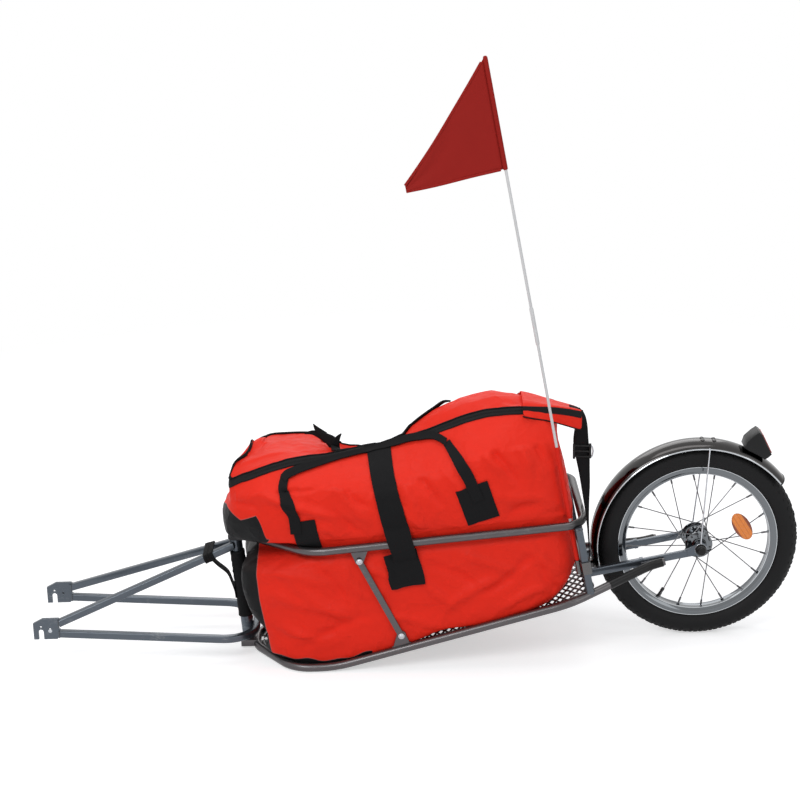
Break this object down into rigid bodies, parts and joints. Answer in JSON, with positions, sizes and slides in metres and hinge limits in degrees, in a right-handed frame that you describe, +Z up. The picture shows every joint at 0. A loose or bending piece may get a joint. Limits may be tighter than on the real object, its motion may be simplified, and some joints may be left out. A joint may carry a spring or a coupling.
{
  "type": "single wheel touring trailer",
  "caption": "Low single wheel touring trailer: tow fork on a pivot pin, tube frame with mesh floor, full cargo bag, fender and safety flag on a pole.",
  "frame": {"origin": "on the ground under the middle of the trailer's bounding box", "axes": "+X from the tow fork's hitch to the wheel, +Y to the trailer's right side, +Z up"},
  "size_m": [1.5162, 0.2946, 1.1901],
  "materials": {
    "frame_paint": "dark grey metallic paint, satin",
    "fork_paint": "blue grey metallic paint, satin",
    "chrome": "polished",
    "steel": "bright zinc and stainless steel",
    "tyre_rubber": "black rubber",
    "tube_rubber": "black rubber",
    "fender_chrome": "dark mirror sheet",
    "amber_plastic": "moulded prisms, glossy",
    "red_plastic": "moulded prisms, glossy",
    "black_plastic": "moulded, satin",
    "red_cloth": "coated woven cloth",
    "black_webbing": "woven webbing",
    "white_fibre": "glass fibre rod, glossy",
    "flag_cloth": "thin woven cloth"
  },
  "bodies": {
    "frame": {"upper_rail": "frame_paint", "lower_frame_tube": "frame_paint", "floor_mesh": "frame_paint", "rear_cross_tube": "frame_paint", "rear_post_left": "fork_paint", "rear_post_right": "fork_paint", "side_strut_left": "fork_paint", "side_strut_right": "fork_paint", "wheel_stay_left": "fork_paint", "wheel_stay_right": "fork_paint", "axle": "steel", "axle_cap_nut_left": "black_plastic", "axle_cap_nut_right": "black_plastic", "fender": "fender_chrome", "fender_stay_left": "steel", "fender_stay_right": "steel", "tail_lamp_housing": "black_plastic", "tail_lamp_lens": "red_plastic", "flag_pole_socket": "black_plastic", "pivot_pin": "steel", "bag": "red_cloth", "bag_webbing_left": "black_webbing", "bag_webbing_right": "black_webbing", "bag_rear_strap": "black_webbing"},
    "wheel": {"hub_shell": "chrome", "spoke_01": "steel", "spoke_02": "steel", "spoke_03": "steel", "spoke_04": "steel", "spoke_05": "steel", "spoke_06": "steel", "spoke_07": "steel", "spoke_08": "steel", "spoke_09": "steel", "spoke_10": "steel", "spoke_11": "steel", "spoke_12": "steel", "spoke_13": "steel", "spoke_14": "steel", "spoke_15": "steel", "spoke_16": "steel", "spoke_17": "steel", "spoke_18": "steel", "spoke_19": "steel", "spoke_20": "steel", "rim": "chrome", "tyre": "tyre_rubber", "inner_tube": "tube_rubber", "wheel_reflector": "amber_plastic"},
    "tow_fork": {"hitch_plate_left": "fork_paint", "hitch_plate_right": "fork_paint", "fork_upper_tube_left": "fork_paint", "fork_upper_tube_right": "fork_paint", "fork_lower_tube": "fork_paint", "fork_head_tube": "fork_paint", "fork_strap": "black_webbing"},
    "flag_pole": {"flag_pole_lower": "white_fibre", "flag_pole_upper": "white_fibre"},
    "flag": {"flag": "flag_cloth"}
  },
  "joints": [
    {"name": "wheel_spin", "type": "hinge", "parent": "frame", "child": "wheel", "pos_m": [0.5586, 0, 0.1995], "axis": [0, 1, 0], "continuous": true},
    {"name": "fork_swing", "type": "hinge", "parent": "frame", "child": "tow_fork", "pos_m": [-0.3411, 0, 0], "axis": [-0.0785, 0, 0.9969], "range_deg": [-45, 45]},
    {"name": "flag_pole_lift", "type": "slide", "parent": "frame", "child": "flag_pole", "axis": [-0.1719, 0, 0.9851], "range_m": [0, 0.05]},
    {"name": "flag_swivel", "type": "hinge", "parent": "flag_pole", "child": "flag", "pos_m": [0.1389, -0.122, 1.1853], "axis": [-0.1719, 0, 0.9851], "continuous": true}
  ]
}
